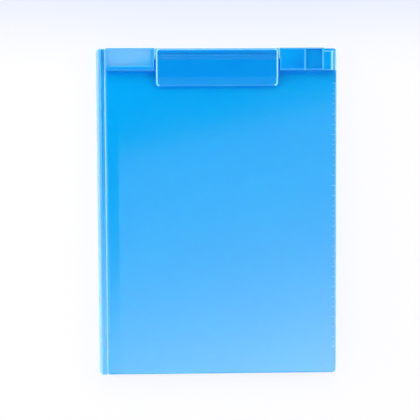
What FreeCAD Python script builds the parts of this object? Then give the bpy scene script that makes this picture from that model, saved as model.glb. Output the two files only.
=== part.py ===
import FreeCAD, Part
import math
import os

# A storage clipboard box that lies on its back: X across the page, the spine at -X, Y up the page with the
# clip at +Y, and Z out of the writing board. All lengths are in millimetres.

# Overall sizes
BOX_WIDTH = 235.0
BOX_LENGTH = 320.0
BOARD_TOP = 20.0
RAIL_TOP = 29.0
PLAN_CORNER_R = 4.0

# Walls and running gaps
FLOOR = 2.0
TRAY_WALL = 2.6
SKIRT = 1.5
BOARD_THICK = 2.2
SPINE_WALL = 2.0
SPINE_END_WALL = 1.5
GAP = 0.3
OVERRUN = 1.0
STRAIGHT_SHARE = 0.99

# Tray
PARTING = 10.5
RIM_RISE = 3.0
SPINE_TO_INNER_WALL = 0.6
INNER_WALL = 1.8
TRAY_EDGE_R = 1.2
SCOOP_R = 60.0
SCOOP_DEPTH = 1.5
SCOOP_FLOOR = 3.5
CATCH_RISE = 0.15
CATCH_LENGTH = 12.0
CATCH_HEIGHT = 1.0
CATCH_SPACING = 180.0

# Spine and its two moulded webs
SPINE_ROUND_R = 7.0
HINGE_INSET = 8.7
GROOVE_DEPTH = 1.1
WEB_THICK = 0.5
WEB_SPAN = 1.0
REAR_CORNER_R = 1.6
SPINE_MITRE_DEG = 55.0
TRAY_MITRE_DEG = 35.0

# Board
BOARD_EDGE_R = 1.2
CROSS_RIBS = 6
LONG_RIBS = 3
RIB_THICK = 1.2
RIB_DEPTH = 1.5
RIB_END_CLEAR = 6.0

# Top rail, measured from the board's top edge and its left and right sides
RAIL_DEPTH = 21.8
RAIL_WALL = 1.8
RAIL_EDGE_R = 1.6
LEFT_RAIL_START = 10.5
LEFT_RAIL_LENGTH = 46.9
RIGHT_RAIL_LENGTH = 54.4
RIGHT_RAIL_END = 2.2
DISH_DEPTH = 0.6
DISH_FALL = 1.5
DISH_MARGIN = 1.3
DISH_SIDE_MARGIN = 2.2
DISH_FRONT_MARGIN = 2.8
DISH_RISE_R = 2.9
DISH_R = 4.0
BAY_PLATE = 1.3

# Right rail: smooth face, rib, recess, rib and pen loop, from left to right
SMOOTH_FACE_LENGTH = 23.7
RAIL_RIB = 1.8
RECESS_LENGTH = 15.7
RECESS_DEPTH = 1.6
RECESS_MARGIN = 1.4
LOOP_SETBACK = 3.0
LOOP_WALL = 1.4
LOOP_ROUND_R = 5.0

# Clip, on its pin between the rail's ears
CLIP_LENGTH = 36.0
CLIP_BACK = 0.6
CLIP_BACK_R = 1.4
CLIP_PLATE = 2.2
CLIP_LIP_LENGTH = 8.6
CLIP_LIP_DEG = 28.0
CLIP_UNDER_DEG = 47.0
CLIP_CORNER_R = 3.0
CLIP_EDGE_R = 0.9
BAY_GAP = 0.3
BARREL_R = 3.5
PIN_R = 1.25
PIN_RUNNING_GAP = 0.05
PIN_BACK = 5.4
EAR_THICK = 1.0
EAR_LENGTH = 10.4
EAR_EDGE_R = 1.0
CLIP_GROOVE_R = 0.35
CLIP_RIBS = 3
CLIP_RIB_PITCH = 1.7
CLIP_SIDE_WALL = 1.4
CLIP_SIDE_DROP = 4.4

# Springs
SPRING_WIRE_R = 0.45
SPRING_COIL_R = 2.2
SPRING_PITCH = 1.45
SPRING_TURNS = 4
SPRING_WIRE_SIDES = 8
SPRING_OFFSET = 30.0
SPRING_LEG = 3.0
SPRING_LEG_DIP_DEG = 20.0
SPRING_END_GAP = 0.5

# Jaw strip
JAW_WIDTH = 4.0
JAW_THICK = 1.6
JAW_SIDE_MARGIN = 2.0
JAW_SEAT = 0.6
JAW_LIFT = 0.3

# Rivets that hold the rail
RIVET_R = 1.3
RIVET_HEAD_R = 2.6
RIVET_HEAD = 0.9
RIVET_BITE = 3.0
RIVET_BOSS_R = 2.8
RIVET_END_INSET = 7.0
RIVET_BACK = 13.0

# Across and up from a quarter circle's centre to its middle, as a share of its radius
DIAGONAL_SHARE = math.sqrt(2) / 2

# Places worked out from the sizes above
LEFT = -BOX_WIDTH / 2
RIGHT = BOX_WIDTH / 2
TOP_EDGE = BOX_LENGTH / 2
BOTTOM_EDGE = -BOX_LENGTH / 2
RIM_TOP = PARTING + RIM_RISE
BOARD_BOTTOM = BOARD_TOP - BOARD_THICK
SKIRT_BOTTOM = PARTING + GAP
RIM_INSET = SKIRT + GAP
FRONT_HINGE_X = LEFT + HINGE_INSET
FRONT_HINGE_Z = BOARD_TOP - GROOVE_DEPTH - WEB_THICK / 2
SPINE_LIP_X = FRONT_HINGE_X - WEB_SPAN / 2
BOARD_LEFT = FRONT_HINGE_X + WEB_SPAN / 2
REAR_ARC_X = LEFT + REAR_CORNER_R
REAR_ARC_Z = REAR_CORNER_R
REAR_MID_R = REAR_CORNER_R - WEB_THICK / 2
REAR_HINGE_X = REAR_ARC_X - REAR_MID_R * DIAGONAL_SHARE
REAR_HINGE_Z = REAR_ARC_Z - REAR_MID_R * DIAGONAL_SHARE
INNER_WALL_X = LEFT + SPINE_WALL + SPINE_TO_INNER_WALL
TRAY_SHOULDER_X = SPINE_LIP_X + GAP
RAIL_FRONT = TOP_EDGE - RAIL_DEPTH
LEFT_RAIL_X = LEFT + LEFT_RAIL_START
LEFT_RAIL_END_X = LEFT_RAIL_X + LEFT_RAIL_LENGTH
RIGHT_RAIL_END_X = RIGHT - RIGHT_RAIL_END
RIGHT_RAIL_X = RIGHT_RAIL_END_X - RIGHT_RAIL_LENGTH
INNER_RIB_X = RIGHT_RAIL_X + SMOOTH_FACE_LENGTH
OUTER_RIB_X = INNER_RIB_X + RAIL_RIB + RECESS_LENGTH
LOOP_X = OUTER_RIB_X + RAIL_RIB
CLIP_LEFT = LEFT_RAIL_END_X + EAR_THICK + BAY_GAP
CLIP_RIGHT = RIGHT_RAIL_X - EAR_THICK - BAY_GAP
CLIP_MIDDLE = (CLIP_LEFT + CLIP_RIGHT) / 2
CLIP_TOP_Y = TOP_EDGE - CLIP_BACK
CLIP_FRONT_Y = CLIP_TOP_Y - CLIP_LENGTH
PIN_Y = TOP_EDGE - PIN_BACK
PIN_Z = RAIL_TOP - BARREL_R - CLIP_GROOVE_R
LIP_START_Y = CLIP_FRONT_Y + CLIP_LIP_LENGTH
LIP_FALL = CLIP_LIP_LENGTH * math.tan(math.radians(CLIP_LIP_DEG))
JAW_BOTTOM = BOARD_TOP + JAW_LIFT


def point(x, y, z):
    return FreeCAD.Vector(x, y, z)


def block(x0, x1, y0, y1, z0, z1):
    return Part.makeBox(x1 - x0, y1 - y0, z1 - z0, point(x0, y0, z0))


def rod_along_x(x0, x1, y, z, radius):
    return Part.makeCylinder(radius, x1 - x0, point(x0, y, z), point(1, 0, 0))


def rod_along_z(x, y, z0, z1, radius):
    return Part.makeCylinder(radius, z1 - z0, point(x, y, z0), point(0, 0, 1))


def outline_prism(points, sweep):
    """A closed outline of straight runs, swept along a vector."""
    wire = Part.makePolygon(points + points[:1])
    return Part.Face(wire).extrude(sweep)


def rounded_slab(x0, x1, y0, y1, z0, z1, left_r, right_r):
    """A slab whose plan corners are rounded by one radius on the left and one on the right."""
    slab = block(x0, x1, y0, y1, z0, z1)
    for side_x, radius in ((x0, left_r), (x1, right_r)):
        if radius > 0:
            corners = edges_at(slab, lambda c: abs(c.x - side_x) < GAP, along=2)
            slab = slab.makeFillet(radius, corners)
    return slab


def edges_at(shape, place_test, along=None):
    """The edges whose centre passes the test, and that run along one axis if that is given."""
    found = []
    for edge in shape.Edges:
        box = edge.BoundBox
        spans = [box.XLength, box.YLength, box.ZLength]
        if along is not None and spans[along] < STRAIGHT_SHARE * edge.Length:
            continue
        if place_test(edge.CenterOfMass):
            found.append(edge)
    return found


def make_tray():
    """Rear shell: floor, three outer walls with a rebated rim, and a low wall beside the spine."""
    skin = rounded_slab(TRAY_SHOULDER_X, RIGHT, BOTTOM_EDGE, TOP_EDGE, 0, PARTING, 0, PLAN_CORNER_R)
    lower_edges = edges_at(skin, lambda c: c.z < GAP and c.x > TRAY_SHOULDER_X + GAP)
    skin = skin.makeFillet(TRAY_EDGE_R, lower_edges)
    rim_r = PLAN_CORNER_R - RIM_INSET
    rim = rounded_slab(
        INNER_WALL_X, RIGHT - RIM_INSET, BOTTOM_EDGE + RIM_INSET, TOP_EDGE - RIM_INSET, 0, RIM_TOP, 0, rim_r
    )
    # The floor runs on under the spine's foot and ends in a mitre at the web
    mitre_rise = FLOOR - REAR_HINGE_Z
    mitre_x = REAR_HINGE_X + mitre_rise / math.tan(math.radians(TRAY_MITRE_DEG))
    web_top_x = REAR_ARC_X
    web_top_z = WEB_THICK
    floor_edge = outline_prism(
        [
            point(web_top_x, BOTTOM_EDGE, 0),
            point(web_top_x, BOTTOM_EDGE, web_top_z),
            point(mitre_x, BOTTOM_EDGE, FLOOR),
            point(TRAY_SHOULDER_X + PLAN_CORNER_R, BOTTOM_EDGE, FLOOR),
            point(TRAY_SHOULDER_X + PLAN_CORNER_R, BOTTOM_EDGE, 0),
        ],
        point(0, BOX_LENGTH, 0),
    )
    corner_plan = rounded_slab(LEFT, 0, BOTTOM_EDGE, TOP_EDGE, 0, FLOOR, PLAN_CORNER_R, 0)
    tray = skin.fuse([rim, floor_edge.common(corner_plan)])
    cavity = rounded_slab(
        INNER_WALL_X + INNER_WALL,
        RIGHT - TRAY_WALL,
        BOTTOM_EDGE + TRAY_WALL,
        TOP_EDGE - TRAY_WALL,
        FLOOR,
        RIM_TOP + OVERRUN,
        RIM_INSET,
        RIM_INSET,
    )
    tray = tray.cut(cavity)
    scoop = rod_along_z(RIGHT + SCOOP_R - SCOOP_DEPTH, 0, SCOOP_FLOOR, PARTING + OVERRUN, SCOOP_R)
    keep_rim = block(0, RIGHT - RIM_INSET, BOTTOM_EDGE, TOP_EDGE, 0, RIM_TOP)
    tray = tray.cut(scoop.cut(keep_rim))
    # Two low catches on the rim press on the skirt and hold the box shut
    catches = []
    catch_z = PARTING + RIM_RISE / 2
    for side in (-1, 1):
        middle = side * CATCH_SPACING / 2
        catches.append(
            block(
                RIGHT - RIM_INSET - CATCH_RISE,
                RIGHT - RIM_INSET + CATCH_RISE,
                middle - CATCH_LENGTH / 2,
                middle + CATCH_LENGTH / 2,
                catch_z - CATCH_HEIGHT / 2,
                catch_z + CATCH_HEIGHT / 2,
            )
        )
    return tray.fuse(catches).removeSplitter()


def spine_plan():
    """Plan of the spine, whose two outer corners are rounded as the box's are."""
    return rounded_slab(LEFT, FRONT_HINGE_X, BOTTOM_EDGE, TOP_EDGE, 0, BOARD_TOP, PLAN_CORNER_R, 0)


def spine_inner_edges():
    """Inner line of the spine's section, from the underside of its lip down to its mitred foot."""
    round_x = LEFT + SPINE_ROUND_R
    round_z = BOARD_TOP - SPINE_ROUND_R
    inner_r = SPINE_ROUND_R - SPINE_WALL
    inner_x = LEFT + SPINE_WALL
    lip_angle = math.asin((BOARD_BOTTOM - round_z) / inner_r)
    half_angle = math.pi - lip_angle / 2
    lip = point(round_x - inner_r * math.cos(lip_angle), 0, BOARD_BOTTOM)
    arc_mid = point(round_x + inner_r * math.cos(half_angle), 0, round_z + inner_r * math.sin(half_angle))
    shoulder = point(inner_x, 0, round_z)
    lip_side = point(SPINE_LIP_X, 0, BOARD_BOTTOM)
    return lip_side, lip, arc_mid, shoulder


def make_spine():
    """Rounded back strip with a mitred foot and a bevelled lip."""
    round_x = LEFT + SPINE_ROUND_R
    round_z = BOARD_TOP - SPINE_ROUND_R
    lip_x = SPINE_LIP_X - GROOVE_DEPTH
    lip = point(lip_x, 0, round_z + math.sqrt(SPINE_ROUND_R**2 - (lip_x - round_x) ** 2))
    arc_mid = point(round_x - SPINE_ROUND_R * DIAGONAL_SHARE, 0, round_z + SPINE_ROUND_R * DIAGONAL_SHARE)
    shoulder = point(LEFT, 0, round_z)
    foot = point(LEFT, 0, REAR_ARC_Z)
    foot_inside = point(LEFT + WEB_THICK, 0, REAR_ARC_Z)
    inner_x = LEFT + SPINE_WALL
    mitre_z = REAR_HINGE_Z + (inner_x - REAR_HINGE_X) * math.tan(math.radians(SPINE_MITRE_DEG))
    mitre_top = point(inner_x, 0, mitre_z)
    groove_foot = point(SPINE_LIP_X, 0, FRONT_HINGE_Z + WEB_THICK / 2)
    lip_side, lip_under, inner_mid, inner_shoulder = spine_inner_edges()
    edges = [
        Part.makeLine(foot, shoulder),
        Part.Arc(shoulder, arc_mid, lip).toShape(),
        Part.makeLine(lip, groove_foot),
        Part.makeLine(groove_foot, lip_side),
        Part.makeLine(lip_side, lip_under),
        Part.Arc(lip_under, inner_mid, inner_shoulder).toShape(),
        Part.makeLine(inner_shoulder, mitre_top),
        Part.makeLine(mitre_top, foot_inside),
        Part.makeLine(foot_inside, foot),
    ]
    strip = Part.Face(Part.Wire(edges)).extrude(point(0, BOX_LENGTH, 0))
    strip.translate(point(0, BOTTOM_EDGE, 0))
    return strip.common(spine_plan())


def make_spine_end_caps():
    """The two walls that close the spine's ends, each fitted inside its rounded section."""
    lip_side, lip_under, inner_mid, inner_shoulder = spine_inner_edges()
    foot_z = FLOOR + GAP
    cap_left = point(inner_shoulder.x, 0, foot_z)
    cap_right = point(SPINE_LIP_X, 0, foot_z)
    edges = [
        Part.makeLine(lip_side, lip_under),
        Part.Arc(lip_under, inner_mid, inner_shoulder).toShape(),
        Part.makeLine(inner_shoulder, cap_left),
        Part.makeLine(cap_left, cap_right),
        Part.makeLine(cap_right, lip_side),
    ]
    caps = []
    for start in (BOTTOM_EDGE, TOP_EDGE - SPINE_END_WALL):
        cap = Part.Face(Part.Wire(edges)).extrude(point(0, SPINE_END_WALL, 0))
        cap.translate(point(0, start, 0))
        caps.append(cap.common(spine_plan()))
    return Part.makeCompound(caps)


def make_rear_hinge_web():
    """Quarter-round web at the rear left corner, from the floor to the spine's foot."""
    outer_r = REAR_CORNER_R
    inner_r = REAR_CORNER_R - WEB_THICK
    edges = []
    ends = {}
    for radius in (outer_r, inner_r):
        left_end = point(REAR_ARC_X - radius, 0, REAR_ARC_Z)
        low_end = point(REAR_ARC_X, 0, REAR_ARC_Z - radius)
        arc_mid = point(REAR_ARC_X - radius * DIAGONAL_SHARE, 0, REAR_ARC_Z - radius * DIAGONAL_SHARE)
        edges.append(Part.Arc(left_end, arc_mid, low_end).toShape())
        ends[radius] = (left_end, low_end)
    for which in (0, 1):
        edges.append(Part.makeLine(ends[outer_r][which], ends[inner_r][which]))
    web = Part.Face(Part.Wire(Part.__sortEdges__(edges)))
    span = BOX_LENGTH - 2 * PLAN_CORNER_R
    web = web.extrude(point(0, span, 0))
    web.translate(point(0, -span / 2, 0))
    return web


def make_front_hinge_web():
    """Thin flat web at the foot of the groove between the spine and the board."""
    return block(
        SPINE_LIP_X,
        BOARD_LEFT,
        BOTTOM_EDGE + SKIRT,
        TOP_EDGE - SKIRT,
        FRONT_HINGE_Z - WEB_THICK / 2,
        FRONT_HINGE_Z + WEB_THICK / 2,
    )


def make_board():
    """Writing board with a skirt on three sides, a bevelled left edge and ribs beneath."""
    board = rounded_slab(BOARD_LEFT, RIGHT, BOTTOM_EDGE, TOP_EDGE, SKIRT_BOTTOM, BOARD_TOP, 0, PLAN_CORNER_R)
    upper_edges = edges_at(board, lambda c: c.z > BOARD_TOP - GAP and c.x > BOARD_LEFT + GAP)
    board = board.makeFillet(BOARD_EDGE_R, upper_edges)
    hollow = rounded_slab(
        BOARD_LEFT - OVERRUN,
        RIGHT - SKIRT,
        BOTTOM_EDGE + SKIRT,
        TOP_EDGE - SKIRT,
        SKIRT_BOTTOM - OVERRUN,
        BOARD_BOTTOM,
        0,
        PLAN_CORNER_R - SKIRT,
    )
    board = board.cut(hollow)
    bevel = outline_prism(
        [
            point(BOARD_LEFT, BOTTOM_EDGE - OVERRUN, BOARD_TOP - GROOVE_DEPTH),
            point(BOARD_LEFT + GROOVE_DEPTH, BOTTOM_EDGE - OVERRUN, BOARD_TOP),
            point(BOARD_LEFT + GROOVE_DEPTH, BOTTOM_EDGE - OVERRUN, BOARD_TOP + OVERRUN),
            point(BOARD_LEFT - OVERRUN, BOTTOM_EDGE - OVERRUN, BOARD_TOP + OVERRUN),
            point(BOARD_LEFT - OVERRUN, BOTTOM_EDGE - OVERRUN, BOARD_TOP - GROOVE_DEPTH),
        ],
        point(0, BOX_LENGTH + 2 * OVERRUN, 0),
    )
    board = board.cut(bevel)
    ribs = []
    rib_x0 = INNER_WALL_X + INNER_WALL + RIB_END_CLEAR
    rib_x1 = RIGHT - TRAY_WALL - RIB_END_CLEAR
    rib_y0 = BOTTOM_EDGE + TRAY_WALL + RIB_END_CLEAR
    rib_y1 = TOP_EDGE - TRAY_WALL - RIB_END_CLEAR
    rib_low = BOARD_BOTTOM - RIB_DEPTH
    for n in range(CROSS_RIBS):
        y = rib_y0 + (rib_y1 - rib_y0 - RIB_THICK) * n / (CROSS_RIBS - 1)
        ribs.append(block(rib_x0, rib_x1, y, y + RIB_THICK, rib_low, BOARD_BOTTOM))
    for n in range(LONG_RIBS):
        x = rib_x0 + (rib_x1 - rib_x0 - RIB_THICK) * n / (LONG_RIBS - 1)
        ribs.append(block(x, x + RIB_THICK, rib_y0, rib_y1, rib_low, BOARD_BOTTOM))
    board = board.fuse(ribs)
    for x, y in rivet_places():
        board = board.cut(rod_along_z(x, y, rib_low, BOARD_BOTTOM, RIVET_HEAD_R + GAP))
        board = board.cut(rod_along_z(x, y, BOARD_BOTTOM - OVERRUN, BOARD_TOP + OVERRUN, RIVET_R))
    return board.removeSplitter()


def rivet_places():
    """Four rivets: two under the left rail and two under the right rail."""
    y = TOP_EDGE - RIVET_BACK
    return [
        (LEFT_RAIL_X + RIVET_END_INSET, y),
        (LEFT_RAIL_END_X - RIVET_END_INSET, y),
        (RIGHT_RAIL_X + RIVET_END_INSET, y),
        (OUTER_RIB_X - RIVET_END_INSET, y),
    ]


def rail_shell(x0, x1, rounded_x1):
    """A hollow rail, open below, with rounded upper edges as far across as rounded_x1."""
    rail = block(x0, x1, RAIL_FRONT, TOP_EDGE, BOARD_TOP, RAIL_TOP)
    rail = rail.makeFillet(
        RAIL_EDGE_R, edges_at(rail, lambda c: c.z > RAIL_TOP - GAP and c.x < rounded_x1)
    )
    hollow = block(
        x0 + RAIL_WALL,
        x1 - RAIL_WALL,
        RAIL_FRONT + RAIL_WALL,
        TOP_EDGE - RAIL_WALL,
        BOARD_TOP,
        RAIL_TOP - RAIL_WALL - RECESS_DEPTH,
    )
    return rail.cut(hollow)


def dish_trough():
    """The dish from the side: its floor falls towards the page and then rises in a round to the rail's top."""
    back_y = TOP_EDGE - DISH_MARGIN
    back_z = RAIL_TOP - DISH_DEPTH
    front_y = RAIL_FRONT + DISH_FRONT_MARGIN
    low_y = front_y + DISH_RISE_R
    low_z = back_z - DISH_FALL
    above = RAIL_TOP + OVERRUN
    edges = [
        Part.makeLine(point(0, back_y, above), point(0, back_y, back_z)),
        Part.makeLine(point(0, back_y, back_z), point(0, low_y, low_z)),
        Part.Arc(
            point(0, low_y, low_z),
            point(0, low_y - DISH_RISE_R * DIAGONAL_SHARE, low_z + DISH_RISE_R * (1 - DIAGONAL_SHARE)),
            point(0, front_y, low_z + DISH_RISE_R),
        ).toShape(),
        Part.makeLine(point(0, front_y, low_z + DISH_RISE_R), point(0, front_y, above)),
        Part.makeLine(point(0, front_y, above), point(0, back_y, above)),
    ]
    return Part.Face(Part.Wire(edges))


def make_left_rail():
    """Left rail with a shallow dish in its face."""
    rail = rail_shell(LEFT_RAIL_X, LEFT_RAIL_END_X, LEFT_RAIL_END_X + GAP)
    dish_plan = rounded_slab(
        LEFT_RAIL_X + DISH_MARGIN,
        LEFT_RAIL_END_X - DISH_SIDE_MARGIN,
        RAIL_FRONT + DISH_FRONT_MARGIN,
        TOP_EDGE - DISH_MARGIN,
        RAIL_TOP - DISH_DEPTH - DISH_FALL - OVERRUN,
        RAIL_TOP + OVERRUN,
        0,
        DISH_R,
    )
    trough = dish_trough().extrude(point(LEFT_RAIL_LENGTH, 0, 0))
    trough.translate(point(LEFT_RAIL_X, 0, 0))
    return rail.cut(dish_plan.common(trough))


def make_pen_loop():
    """Hollow arch, open along Y, whose outer corner is well rounded."""
    arch = block(LOOP_X, RIGHT_RAIL_END_X, RAIL_FRONT, TOP_EDGE - LOOP_SETBACK, BOARD_TOP, RAIL_TOP)
    outer_corner = edges_at(
        arch, lambda c: c.z > RAIL_TOP - GAP and c.x > RIGHT_RAIL_END_X - GAP, along=1
    )
    arch = arch.makeFillet(LOOP_ROUND_R, outer_corner)
    bore = block(
        LOOP_X,
        RIGHT_RAIL_END_X - LOOP_WALL,
        RAIL_FRONT - OVERRUN,
        TOP_EDGE,
        BOARD_TOP,
        RAIL_TOP - LOOP_WALL,
    )
    inner_corner = edges_at(
        bore, lambda c: c.z > RAIL_TOP - LOOP_WALL - GAP and c.x > RIGHT_RAIL_END_X - LOOP_WALL - GAP, along=1
    )
    bore = bore.makeFillet(LOOP_ROUND_R - LOOP_WALL, inner_corner)
    return arch.cut(bore)


def make_right_rail():
    """Right rail: a smooth face, then a recess between two ribs, then the pen loop."""
    rail = rail_shell(RIGHT_RAIL_X, LOOP_X, LOOP_X - GAP)
    recess = block(
        INNER_RIB_X + RAIL_RIB,
        OUTER_RIB_X,
        RAIL_FRONT + RECESS_MARGIN,
        TOP_EDGE - RECESS_MARGIN,
        RAIL_TOP - RECESS_DEPTH,
        RAIL_TOP + OVERRUN,
    )
    rail = rail.cut(recess)
    return rail.fuse(make_pen_loop())


def make_ear(x0):
    """Ear that carries one end of the pin."""
    y0 = PIN_Y - EAR_LENGTH / 2
    ear = block(x0, x0 + EAR_THICK, y0, y0 + EAR_LENGTH, BOARD_TOP, RAIL_TOP)
    return ear.makeFillet(EAR_EDGE_R, edges_at(ear, lambda c: c.z > RAIL_TOP - GAP, along=0))


def make_top_rail():
    """One moulding: both rails, the thin bay plate between them, the ears and the rivet bosses."""
    bay = block(LEFT_RAIL_END_X, RIGHT_RAIL_X, RAIL_FRONT, TOP_EDGE, BOARD_TOP, BOARD_TOP + BAY_PLATE)
    pieces = [make_right_rail(), bay, make_ear(LEFT_RAIL_END_X), make_ear(RIGHT_RAIL_X - EAR_THICK)]
    for x, y in rivet_places():
        pieces.append(rod_along_z(x, y, BOARD_TOP, RAIL_TOP - RAIL_WALL - RECESS_DEPTH, RIVET_BOSS_R))
    rail = make_left_rail().fuse(pieces)
    for x, y in rivet_places():
        rail = rail.cut(rod_along_z(x, y, BOARD_TOP - OVERRUN, BOARD_TOP + RIVET_BITE, RIVET_R))
    pin_hole = rod_along_x(LEFT_RAIL_END_X - RAIL_WALL, RIGHT_RAIL_X + RAIL_WALL, PIN_Y, PIN_Z, PIN_R)
    return rail.cut(pin_hole).removeSplitter()


def make_rail_rivets():
    """The rivets, each with its head against the board's underside."""
    rivets = []
    for x, y in rivet_places():
        head = rod_along_z(x, y, BOARD_BOTTOM - RIVET_HEAD, BOARD_BOTTOM, RIVET_HEAD_R)
        shank = rod_along_z(x, y, BOARD_BOTTOM, BOARD_TOP + RIVET_BITE, RIVET_R)
        rivets.append(head.fuse(shank).removeSplitter())
    return Part.makeCompound(rivets)


def make_clip_pin():
    return rod_along_x(LEFT_RAIL_END_X - RAIL_WALL, RIGHT_RAIL_X + RAIL_WALL, PIN_Y, PIN_Z, PIN_R)


def clip_section():
    """Outline of the clip from the side: rounded back edge, flat top, sloping lip and square nose."""
    top_z = RAIL_TOP
    under_z = RAIL_TOP - CLIP_PLATE
    nose_top = top_z - LIP_FALL
    jaw_top = JAW_BOTTOM + JAW_THICK
    jaw_back_y = CLIP_FRONT_Y + JAW_WIDTH + 2 * JAW_SEAT
    lip_under_y = jaw_back_y + (under_z - jaw_top) / math.tan(math.radians(CLIP_UNDER_DEG))
    round_top = point(0, CLIP_TOP_Y - CLIP_BACK_R, top_z)
    round_back = point(0, CLIP_TOP_Y, top_z - CLIP_BACK_R)
    round_middle = point(
        0,
        CLIP_TOP_Y - CLIP_BACK_R * (1 - DIAGONAL_SHARE),
        top_z - CLIP_BACK_R * (1 - DIAGONAL_SHARE),
    )
    edges = [
        Part.makeLine(point(0, LIP_START_Y, top_z), round_top),
        Part.Arc(round_top, round_middle, round_back).toShape(),
        Part.makeLine(round_back, point(0, CLIP_TOP_Y, under_z)),
        Part.makeLine(point(0, CLIP_TOP_Y, under_z), point(0, lip_under_y, under_z)),
        Part.makeLine(point(0, lip_under_y, under_z), point(0, jaw_back_y, jaw_top)),
        Part.makeLine(point(0, jaw_back_y, jaw_top), point(0, CLIP_FRONT_Y, jaw_top)),
        Part.makeLine(point(0, CLIP_FRONT_Y, jaw_top), point(0, CLIP_FRONT_Y, nose_top)),
        Part.makeLine(point(0, CLIP_FRONT_Y, nose_top), point(0, LIP_START_Y, top_z)),
    ]
    return Part.Face(Part.Wire(edges))


def clip_plan(corner_test):
    """Plan of the clip as a slab, with the corners that pass the test rounded."""
    low = BOARD_TOP - OVERRUN
    high = RAIL_TOP + OVERRUN
    slab = block(CLIP_LEFT, CLIP_RIGHT, CLIP_FRONT_Y, CLIP_TOP_Y, low, high)
    return slab.makeFillet(CLIP_CORNER_R, edges_at(slab, corner_test, along=2))


def clip_rim_edges(plate):
    """The upper edges of the clip's two sides and of its lip's nose, with the rounded corners between."""
    nose_top = RAIL_TOP - LIP_FALL
    lip_slope = math.tan(math.radians(CLIP_LIP_DEG))

    def on_upper_rim(c):
        flat_z = RAIL_TOP if c.y > LIP_START_Y else nose_top + (c.y - CLIP_FRONT_Y) * lip_slope
        near_side = min(c.x - CLIP_LEFT, CLIP_RIGHT - c.x) < CLIP_CORNER_R
        at_rim = near_side or c.y < CLIP_FRONT_Y + GAP
        return c.y < PIN_Y and at_rim and abs(c.z - flat_z) < GAP

    return edges_at(plate, on_upper_rim)


def spring_bays():
    """X ranges of the two spaces in the barrel that hold the springs."""
    half = coil_length() / 2 + SPRING_WIRE_R + SPRING_END_GAP
    return [(CLIP_MIDDLE + s * SPRING_OFFSET - half, CLIP_MIDDLE + s * SPRING_OFFSET + half) for s in (-1, 1)]


def make_clip_plate():
    """The clip: plate and lip, the barrel on the pin, a groove, fine ribs, and bays for the springs."""
    plate = clip_section().extrude(point(CLIP_RIGHT - CLIP_LEFT, 0, 0))
    plate.translate(point(CLIP_LEFT, 0, 0))
    plate = plate.common(clip_plan(lambda c: c.y < CLIP_FRONT_Y + GAP))
    plate = plate.makeFillet(CLIP_EDGE_R, clip_rim_edges(plate))
    barrel = rod_along_x(CLIP_LEFT, CLIP_RIGHT, PIN_Y, PIN_Z, BARREL_R)
    sides = []
    side_z = RAIL_TOP - CLIP_PLATE - CLIP_SIDE_DROP
    for x in (CLIP_LEFT, CLIP_RIGHT - CLIP_SIDE_WALL):
        sides.append(
            outline_prism(
                [
                    point(x, PIN_Y, PIN_Z - BARREL_R + GAP),
                    point(x, PIN_Y, RAIL_TOP - CLIP_PLATE / 2),
                    point(x, LIP_START_Y, RAIL_TOP - CLIP_PLATE / 2),
                    point(x, LIP_START_Y - JAW_WIDTH, JAW_BOTTOM + JAW_THICK),
                    point(x, LIP_START_Y, side_z),
                ],
                point(CLIP_SIDE_WALL, 0, 0),
            )
        )
    clip = plate.fuse([barrel] + sides)
    groove = rod_along_x(CLIP_LEFT - OVERRUN, CLIP_RIGHT + OVERRUN, PIN_Y, RAIL_TOP, CLIP_GROOVE_R)
    grooves = [groove]
    for n in range(CLIP_RIBS):
        y = PIN_Y - CLIP_RIB_PITCH * (n + 1)
        grooves.append(
            rod_along_x(CLIP_LEFT + CLIP_CORNER_R, CLIP_RIGHT - CLIP_CORNER_R, y, RAIL_TOP, CLIP_GROOVE_R)
        )
    clip = clip.cut(Part.makeCompound(grooves))
    clip = clip.cut(rod_along_x(CLIP_LEFT - OVERRUN, CLIP_RIGHT + OVERRUN, PIN_Y, PIN_Z, PIN_R + PIN_RUNNING_GAP))
    for x0, x1 in spring_bays():
        bay_top = RAIL_TOP - CLIP_PLATE / 2
        clip = clip.cut(block(x0, x1, PIN_Y - BARREL_R - OVERRUN, TOP_EDGE, BOARD_TOP, bay_top))
    seat = block(
        CLIP_LEFT + JAW_SIDE_MARGIN,
        CLIP_RIGHT - JAW_SIDE_MARGIN,
        CLIP_FRONT_Y + JAW_SEAT,
        CLIP_FRONT_Y + JAW_SEAT + JAW_WIDTH,
        JAW_BOTTOM,
        JAW_BOTTOM + JAW_THICK + JAW_SEAT,
    )
    clip = clip.cut(seat).common(clip_plan(lambda c: c.y > CLIP_TOP_Y - GAP))
    return clip.removeSplitter()


def make_jaw_strip():
    """Soft strip seated in the lip's underside."""
    strip = block(
        CLIP_LEFT + JAW_SIDE_MARGIN,
        CLIP_RIGHT - JAW_SIDE_MARGIN,
        CLIP_FRONT_Y + JAW_SEAT,
        CLIP_FRONT_Y + JAW_SEAT + JAW_WIDTH,
        JAW_BOTTOM,
        JAW_BOTTOM + JAW_THICK + JAW_SEAT,
    )
    lower = edges_at(strip, lambda c: c.z < JAW_BOTTOM + GAP / 2, along=0)
    return strip.makeFillet(JAW_SEAT, lower)


def coil_point(start_x, angle):
    """A point of the coil and the coil's direction there. The coil starts at the top, over the pin."""
    turned = angle + math.pi / 2
    rise = SPRING_PITCH / (2 * math.pi)
    place = point(
        start_x + rise * angle,
        PIN_Y + SPRING_COIL_R * math.cos(turned),
        PIN_Z + SPRING_COIL_R * math.sin(turned),
    )
    way = point(rise, -SPRING_COIL_R * math.sin(turned), SPRING_COIL_R * math.cos(turned))
    return place, way.normalize()


def coil_sweep():
    """The angle from the upper leg to the lower one, which dips towards the bay plate."""
    return 2 * math.pi * SPRING_TURNS + math.pi - math.radians(SPRING_LEG_DIP_DEG)


def coil_length():
    return SPRING_PITCH * coil_sweep() / (2 * math.pi)


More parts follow.
